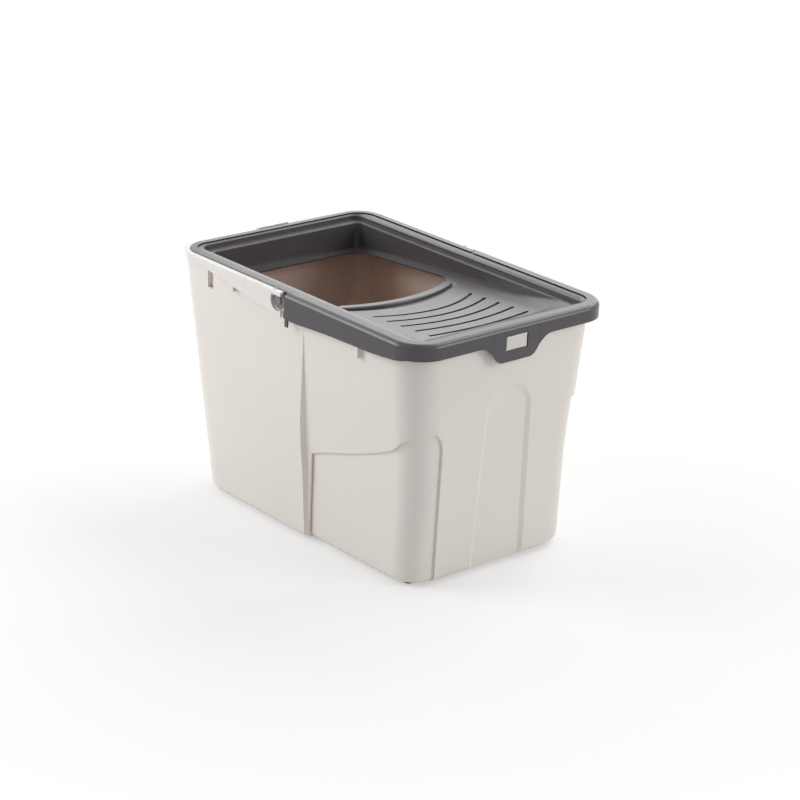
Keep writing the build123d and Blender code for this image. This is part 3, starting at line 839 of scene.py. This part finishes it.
@dataclass
class Lid:
    """Moulded lid: rounded rim, skirt, stepped funnel, ribbed ramp and entry hole."""

    round: float = 8.0
    skirt_wall: float = 2.5
    skirt_lowest: float = 343.5
    skirt_front: float = 370.5
    skirt_edge: Sequence[Flat] = (
        (20.0, 354.8), (84.0, 359.0), (140.0, 361.0), (194.0, 362.5), (247.0, 367.0),
        (267.0, 370.5),
    )
    skirt_rear: float = -6.2
    lobe: Tuple[float, float, float] = (-8.5, 366.0, 356.0)
    finger: Flat = (-5.0, 1.5)
    handle_clear: float = 8.2
    lip_wall: float = 2.5
    lip_bottom: float = 386.5
    lip_round: float = 1.5
    flat: Tuple[float, float, float] = (273.0, 175.5, 30.5)
    step: Tuple[float, float, float] = (268.5, 159.0, 16.0)
    step_top: float = 391.0
    ledge: float = 385.3
    well: Tuple[float, float, float, float] = (252.0, 262.0, 149.0, 12.0)
    well_lip: Sequence[Flat] = ((-1.0, 2.4), (0.0, 2.4), (0.5, 1.1), (1.2, 0.4), (2.4, 0.0))
    well_depth: float = 60.0
    well_draft: float = 5.0
    floor_x: float = 68.0
    floor_z: float = 362.5
    floor_rise: float = 0.0585
    slopes: Sequence[Tuple[float, float, float]] = (
        (-256.0, 118.0, 3.0), (60.0, 106.0, 7.0), (275.0, 102.0, 15.0)
    )
    undercut: float = 9.0
    pad_rise: float = 2.5
    pad_rear: float = 76.0
    pad_sag: float = 46.0
    pad_half: float = 116.0
    pad_front: float = 222.0
    seat: float = 0.5
    past: float = 5.0
    hole_depth: Flat = (-60.0, 9.0)
    hole_rear: float = -230.0
    hole_front: float = 39.0
    hole_sag: float = 43.0
    hole_half: float = 128.0
    hole_rear_round: float = 35.0
    hole_front_round: float = 16.0
    hole_steps: int = 40
    threshold_width: float = 17.0
    threshold_rise: float = 5.0
    threshold_half: float = 104.0
    threshold_sag: float = 27.0
    threshold_round: float = 3.0
    threshold_steps: int = 5
    tab_half: float = 46.15
    tab_top: float = 387.95
    shoulder: Sequence[Flat] = (
        (46.15, 357.0), (51.0, 361.5), (57.0, 366.5), (64.0, 369.7), (72.0, 370.5),
    )
    shoulder_depth: float = 1.0

    def floor(self, drop: float = 0.0) -> Matrix:
        """Plane of the tilted ramp, or one that lies drop under it."""
        angle = math.atan(self.floor_rise)
        normal = Vector((-math.sin(angle), 0, math.cos(angle)))
        origin = Vector((self.floor_x, 0, self.floor_z)) - normal * drop
        return plane(origin, (math.cos(angle), 0, math.sin(angle)), normal)

    def height(self, x: float) -> float:
        """Height of the ramp's floor at x."""
        return self.floor_z + self.floor_rise * (x - self.floor_x)

    def side_slope(self, side: int, drop: float) -> Solid:
        """Wedge between the ramp's floor and the long wall, steeper towards the front."""
        sections = []
        wall = self.well[2] + self.undercut
        for x, foot, rise in self.slopes:
            low = self.height(x) - drop
            reach = rise * (wall - foot) / (self.well[2] - foot)
            root = low - self.undercut
            profile = [(foot, low), (wall, low + reach), (wall, root), (foot, root)]
            sections.append([(x, side * y, z) for y, z in profile])
        return Solid.loft(sections)

    def front_slope(self, drop: float) -> Solid:
        """Wedge under the plane from the pad's front edge up to the flat rim."""
        pad_top = self.height(self.pad_front) + self.pad_rise
        slope = (RIM_TOP - pad_top) / (self.flat[0] - self.pad_front)
        back = self.pad_front - (self.flat[0] - self.pad_front) / 2
        ahead = self.flat[0] + self.undercut
        low = self.height(back) - 2 * self.undercut
        outline = [
            (back, low), (ahead, low), (ahead, pad_top + slope * (ahead - self.pad_front) - drop),
            (back, pad_top + slope * (back - self.pad_front) - drop),
        ]
        return Solid.prism(outline, SIDE_VIEW, -HALF_W, HALF_W)

    def space(self, grow: float) -> Solid:
        """Space over the moulding inside the flat rim; grown, it is the underside."""
        half_x, half_y, corner = self.flat
        reach = grow / 2
        flat = (half_x + reach, half_x + reach, half_y + reach, corner, corner)
        rear, step_y, step_corner = self.step
        step = (
            rear + grow, half_x + grow, step_y + grow, step_corner + grow, step_corner + grow
        )
        levels = [
            (RIM_TOP + 1 - grow, flat), (RIM_TOP - grow, flat), (self.step_top - grow, step),
            (self.ledge - grow, step),
        ]
        form = Solid.loft(
            [[(x, y, z) for x, y in rounded_outline(*sizes)] for z, sizes in levels]
        )
        sections = []
        for depth, flare in (*self.well_lip, (self.well_depth, -self.well_draft)):
            more = grow + flare
            rear, front, half, corner = (size + more for size in self.well)
            outline = rounded_outline(rear, front, half, corner, corner)
            sections.append([(x, y, self.ledge - grow - depth) for x, y in outline])
        funnel = Solid.loft(sections)
        wide = [(-FAR, -FAR), (FAR, -FAR), (FAR, FAR), (-FAR, FAR)]
        funnel = funnel - Solid.prism(wide, self.floor(grow), -FAR, 0)
        for side in (-1, 1):
            funnel = funnel - self.side_slope(side, grow)
        return (form + funnel) - self.front_slope(grow)

    def floor_u(self, x: float) -> float:
        """Place along the tilted ramp that lies over or under x."""
        return (x - self.floor_x) * math.sqrt(1 + self.floor_rise ** 2)

    def band(self, apex: float, half: float, sag: float, width: float) -> Outline:
        """Curved slot on the ramp, bowed to the front at its middle."""
        reach = 2 * math.atan2(sag, half)
        radius = half / math.sin(reach)
        centre = self.floor_u(apex) - radius
        turn = math.degrees(reach)
        end_x, end_y = centre + radius * math.cos(reach), radius * math.sin(reach)
        return [
            *arc((centre, 0), radius + width / 2, -turn, turn, CURVE_STEPS),
            *arc((end_x, end_y), width / 2, turn, turn + 180, END_STEPS)[1:-1],
            *arc((centre, 0), radius - width / 2, turn, -turn, CURVE_STEPS),
            *arc((end_x, -end_y), width / 2, 180 - turn, 360 - turn, END_STEPS)[1:-1],
        ]

    def pad(self, material: bpy.types.Material) -> Solid:
        """Grooved pad that runs out into the side slopes."""
        rear = self.floor_u(self.pad_rear - self.pad_sag)
        front = self.floor_u(self.pad_front)
        arch = bow(self.pad_half, rear, self.floor_u(self.pad_rear), CURVE_STEPS)
        edge = [(u, y) for y, u in arch]
        wide = self.well[2]
        outline = [(front, -wide), (front, wide), (rear, wide), *edge, (rear, -wide)]
        form = Solid.prism(outline, self.floor(), -self.seat, self.pad_rise)
        bars = GrooveBars().solid(self.floor(), self.floor_x, material)
        return (form - bars) & self.space(self.seat)

    def threshold(self) -> Solid:
        """Rounded ridge along the hole's front edge."""
        levels = [(-self.seat, 0.0), (self.threshold_rise - self.threshold_round, 0.0)]
        steps = self.threshold_steps
        for step in range(1, steps + 1):
            angle = math.pi / 2 * step / steps
            levels.append((
                self.threshold_rise - self.threshold_round * (1 - math.sin(angle)),
                self.threshold_round * (1 - math.cos(angle)),
            ))
        apex = self.hole_front + self.threshold_width / 2
        sections = []
        for height, draw_in in levels:
            width = self.threshold_width - 2 * draw_in
            outline = self.band(apex, self.threshold_half, self.threshold_sag, width)
            sections.append([tuple(self.floor() @ Vector((u, y, height))) for u, y in outline])
        return Solid.loft(sections)

    def hole(self) -> Outline:
        """Outline of the entry hole: bowed at the front, rounded at its corners."""
        half = self.hole_half
        shoulder = self.hole_front - self.hole_sag
        front = [(x, y) for y, x in bow(half, shoulder, self.hole_front, self.hole_steps)]
        start = [point for point in front if abs(point[1]) < half - self.hole_front_round]
        turn = self.hole_front_round
        far = bend(start[0], front[0], (shoulder - turn, half))
        near = bend((shoulder - turn, -half), front[-1], start[-1])
        reach = self.hole_rear_round
        rear = self.hole_rear
        return [
            *far[::-1], *start[1:-1], *near[::-1],
            *bend((rear + reach, -half), (rear, -half), (rear, -half + reach)),
            *bend((rear, half - reach), (rear, half), (rear + reach, half)),
        ]

    def rim(self) -> Solid:
        """Flat rim with the skirt at the front and the drawn-in lip at the rear."""
        front = rim_solid(0, self.skirt_lowest - 0.1, RIM_TOP, self.round)
        front = front - rim_solid(
            self.skirt_wall, self.skirt_lowest - 20, RIM_TOP - LID_WALL, self.round - LID_WALL
        )
        lobe_x, lobe_top, lobe_low = self.lobe
        ahead = HALF_L + self.past
        behind = HALF_L - self.skirt_wall - self.shoulder_depth
        low = self.shoulder[0][1] - self.past
        side_view = [
            (behind, self.skirt_front), (behind, low), (ahead, low),
            (ahead, RIM_TOP + self.past), (self.skirt_rear, RIM_TOP + self.past),
            (self.skirt_rear, lobe_top + 3), (lobe_x, lobe_top), (lobe_x, lobe_low),
            (self.finger[0], lobe_low), (self.finger[0], self.skirt_lowest),
            (self.finger[1], self.skirt_lowest), (self.finger[1], self.skirt_edge[0][1]),
            *wave_through(self.skirt_edge),
        ]
        front = front & Solid.prism(side_view, SIDE_VIEW, -FAR, FAR)
        # Front edge of the skirt, curved down to the latch tab on both sides
        edge = [
            (self.tab_half - self.past, low - self.past),
            (self.tab_half - self.past, self.shoulder[0][1]), *self.shoulder,
            (FAR, self.skirt_front), (FAR, low - self.past),
        ]
        for side in (-1, 1):
            below = [(side * y, z) for y, z in edge]
            front = front - Solid.prism(below, FRONT_VIEW, behind - 3, FAR)
        rear = rim_solid(self.handle_clear, self.lip_bottom, RIM_TOP, self.lip_round)
        rear = rear - rim_solid(
            self.handle_clear + self.lip_wall, self.lip_bottom - self.past, RIM_TOP - LID_WALL
        )
        rear = rear & Solid.block((-FAR, self.skirt_rear + 2), (-FAR, FAR), (0, FAR))
        return front + rear

    def build(self, materials: Dict[Finish, bpy.types.Material]) -> None:
        """Makes the lid."""
        finish = materials[Finish.LID]
        form = self.rim() + self.space(LID_WALL)
        form = form - self.space(0)
        form = form + self.pad(finish)
        form = form - Solid.prism(self.hole(), LEVEL, *(self.floor_z + z for z in self.hole_depth))
        form = form + self.threshold()
        notch = Solid.block(
            (HALF_L - 2 * self.skirt_wall, HALF_L + self.past), (-self.tab_half, self.tab_half),
            (0, self.tab_top),
        )
        form = form - notch
        hand_over(form.piece("lid_moulding", 0.5), "lid", "lid", finish)


@dataclass
class LatchTab:
    """Tongue at the lid's front with a window for the catch."""

    half: float = 46.0
    top: float = 387.5
    side: Sequence[Flat] = ((46.0, 357.5), (42.0, 351.0), (37.0, 345.0))
    bottom: Flat = (31.5, 341.0)
    turn: float = 6.0
    wall: float = 2.5
    window: Tuple[float, float, float] = (22.0, 357.0, 382.0)
    window_corner: float = 2.0

    def build(self, materials: Dict[Finish, bpy.types.Material]) -> None:
        """Makes the tab."""
        low = self.bottom[1]
        bottom = bend(self.side[-1], self.bottom, (self.bottom[0] - self.turn, low), 5)
        half = [(self.half, self.top), *self.side[:-1], *bottom]
        outline = [*half, *[(-y, z) for y, z in reversed(half)]]
        form = Solid.prism(outline, FRONT_VIEW, HALF_L - self.wall, HALF_L)
        window_half, window_low, window_high = self.window
        middle = (window_low + window_high) / 2
        reach = (window_high - window_low) / 2
        corner = self.window_corner
        window = rounded_outline(window_half, window_half, reach, corner, corner)
        window = [(y, z + middle) for y, z in window]
        form = form - Solid.prism(window, FRONT_VIEW, HALF_L - 2 * self.wall, HALF_L + self.wall)
        made = form.piece("latch_tongue", 0.3)
        hand_over(made, "latch_tab", "latch", materials[Finish.LID])


@dataclass
class CarriedPieces:
    """Pieces whose CAD shape is kept, with the finish that each one gets."""

    finishes: Dict[str, Finish] = field(
        default_factory=lambda: {
            "tub": Finish.TUB, "lid": Finish.LID, "latch_tab": Finish.LID,
            "carry_handle": Finish.HANDLE, "front_catch": Finish.CATCH,
            **{f"pivot_stud_{side}": Finish.STUD for side in ("near", "far")},
            **{
                f"foot_{side}_{end}": Finish.FOOT
                for side in ("near", "far") for end in ("front", "rear")
            },
        }
    )

    def dress(self, materials: Dict[Finish, bpy.types.Material]) -> None:
        """Gives every carried-over node its material.

        Args:
            materials: Built materials by finish.
        """
        for name, finish in self.finishes.items():
            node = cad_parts[name]
            node.data.materials.clear()
            node.data.materials.append(materials[finish])
            LOG.info("dressed %s with %s", name, finish.value.name)


@dataclass
class Studio:
    """Pale floor, white surroundings and soft lamps."""

    floor_half: float = 6.0
    floor_colour: Colour = (0.93, 0.93, 0.93)
    fade: Flat = (0.55, 1.0)
    shadow: float = 0.6
    ambient: float = 0.34
    ambient_colour: Colour = (1.0, 0.995, 0.99)
    aim: Tuple[float, float, float] = (0.0, 0.0, 0.25)
    lamps: Sequence[Tuple[str, Tuple[float, float, float], float, float]] = (
        ("left_softbox", (-1.8, -2.1, 1.5), 1.6, 50.0),
        ("right_softbox", (3.0, 2.0, 1.7), 1.8, 47.0),
        ("overhead_softbox", (0.0, 2.2, 2.6), 2.2, 45.0),
        ("rear_softbox", (-2.2, 2.9, 1.4), 2.8, 34.0),
        ("side_softbox", (-3.0, -0.3, 2.3), 2.2, 20.0),
    )

    def build(self) -> None:
        """Makes the floor, the world and the lamps."""
        self._floor()
        self._world()
        for name, place, size, power in self.lamps:
            self._lamp(name, place, size, power)

    def _floor(self) -> None:
        """Large plain floor, white to the camera and in reflections away from the shadow."""
        half = self.floor_half
        mesh = bpy.data.meshes.new("floor")
        corners = [(-half, -half, 0), (half, -half, 0), (half, half, 0), (-half, half, 0)]
        mesh.from_pydata(corners, [], [(0, 1, 2, 3)])
        floor = bpy.data.objects.new("floor", mesh)
        bpy.context.scene.collection.objects.link(floor)
        material = bpy.data.materials.new("floor_paper")
        graph = ShaderGraph(material)
        paper = graph.node(
            "ShaderNodeBsdfPrincipled", {},
            {"Base Color": (*self.floor_colour, 1.0), "Roughness": 0.9},
        )
        white = graph.node("ShaderNodeEmission", {}, {"Color": WHITE, "Strength": 1.0})
        away = graph.node(
            "ShaderNodeVectorMath", {"operation": "LENGTH"}, {0: graph.place()}, "Value"
        )
        seen = (graph.ray_is("Camera") + graph.ray_is("Glossy")).clamp(0.0, 1.0)
        share = (graph.ramp(away, *self.fade) * self.shadow + (1 - self.shadow)) * seen
        graph.finish(graph.node("ShaderNodeMixShader", {}, {0: share, 1: paper, 2: white}))
        mesh.materials.append(material)

    def _world(self) -> None:
        """White world for the camera and in reflections, and a dimmer one for the light."""
        world = bpy.data.worlds.new("studio")
        bpy.context.scene.world = world
        graph = WorldGraph(world)
        seen = (graph.ray_is("Camera") + graph.ray_is("Glossy")).clamp(0.0, 1.0)
        tinted = {"Color": (*self.ambient_colour, 1.0), "Strength": self.ambient}
        soft = graph.node("ShaderNodeBackground", {}, tinted)
        white = graph.node("ShaderNodeBackground", {}, {"Color": WHITE, "Strength": 1.0})
        graph.finish(graph.node("ShaderNodeMixShader", {}, {0: seen, 1: soft, 2: white}))

    def _lamp(
        self, name: str, place: Tuple[float, float, float], size: float, power: float
    ) -> None:
        """Adds a square area lamp that faces the object.

        Args:
            name: The lamp's name.
            place: Position in metres.
            size: Side of the square in metres.
            power: Watts.
        """
        data = bpy.data.lights.new(name, "AREA")
        data.size = size
        data.energy = power
        lamp = bpy.data.objects.new(name, data)
        bpy.context.scene.collection.objects.link(lamp)
        turn = (Vector(self.aim) - Vector(place)).to_track_quat("-Z", "Y")
        lamp.matrix_world = Matrix.Translation(place) @ turn.to_matrix().to_4x4()


@dataclass(frozen=True)
class Viewpoint:
    """Camera that takes the photograph's view of the object."""

    place: Tuple[float, float, float] = (2.7354, -2.3623, 1.5782)
    target: Tuple[float, float, float] = (0.0444, -0.0032, 0.2)
    roll_degrees: float = 2.445
    lens: float = 111.8
    sensor: float = 36.0
    clip_end: float = 50.0

    def build(self) -> None:
        """Makes the camera the scene's own."""
        data = bpy.data.cameras.new("studio_camera")
        data.lens = self.lens
        data.sensor_width = self.sensor
        data.clip_end = self.clip_end
        camera = bpy.data.objects.new("studio_camera", data)
        bpy.context.scene.collection.objects.link(camera)
        forward = (Vector(self.target) - Vector(self.place)).normalized()
        right = forward.cross(Vector((0, 0, 1))).normalized()
        up = right.cross(forward)
        roll = math.radians(self.roll_degrees)
        across = right * math.cos(roll) + up * math.sin(roll)
        upward = up * math.cos(roll) - right * math.sin(roll)
        turn = Matrix((across, upward, -forward)).transposed().to_4x4()
        camera.matrix_world = Matrix.Translation(self.place) @ turn
        bpy.context.scene.camera = camera


def main() -> None:
    """Builds the finishes, the pieces, the studio and the camera."""
    logging.basicConfig(level=logging.INFO, format="%(message)s")
    bpy.context.scene.view_settings.view_transform = "Standard"
    materials = {finish: finish.value.material() for finish in Finish}
    CarriedPieces().dress(materials)
    Tub().build(materials)
    Lid().build(materials)
    LatchTab().build(materials)
    Studio().build()
    Viewpoint().build()


if __name__ == "__main__":
    main()
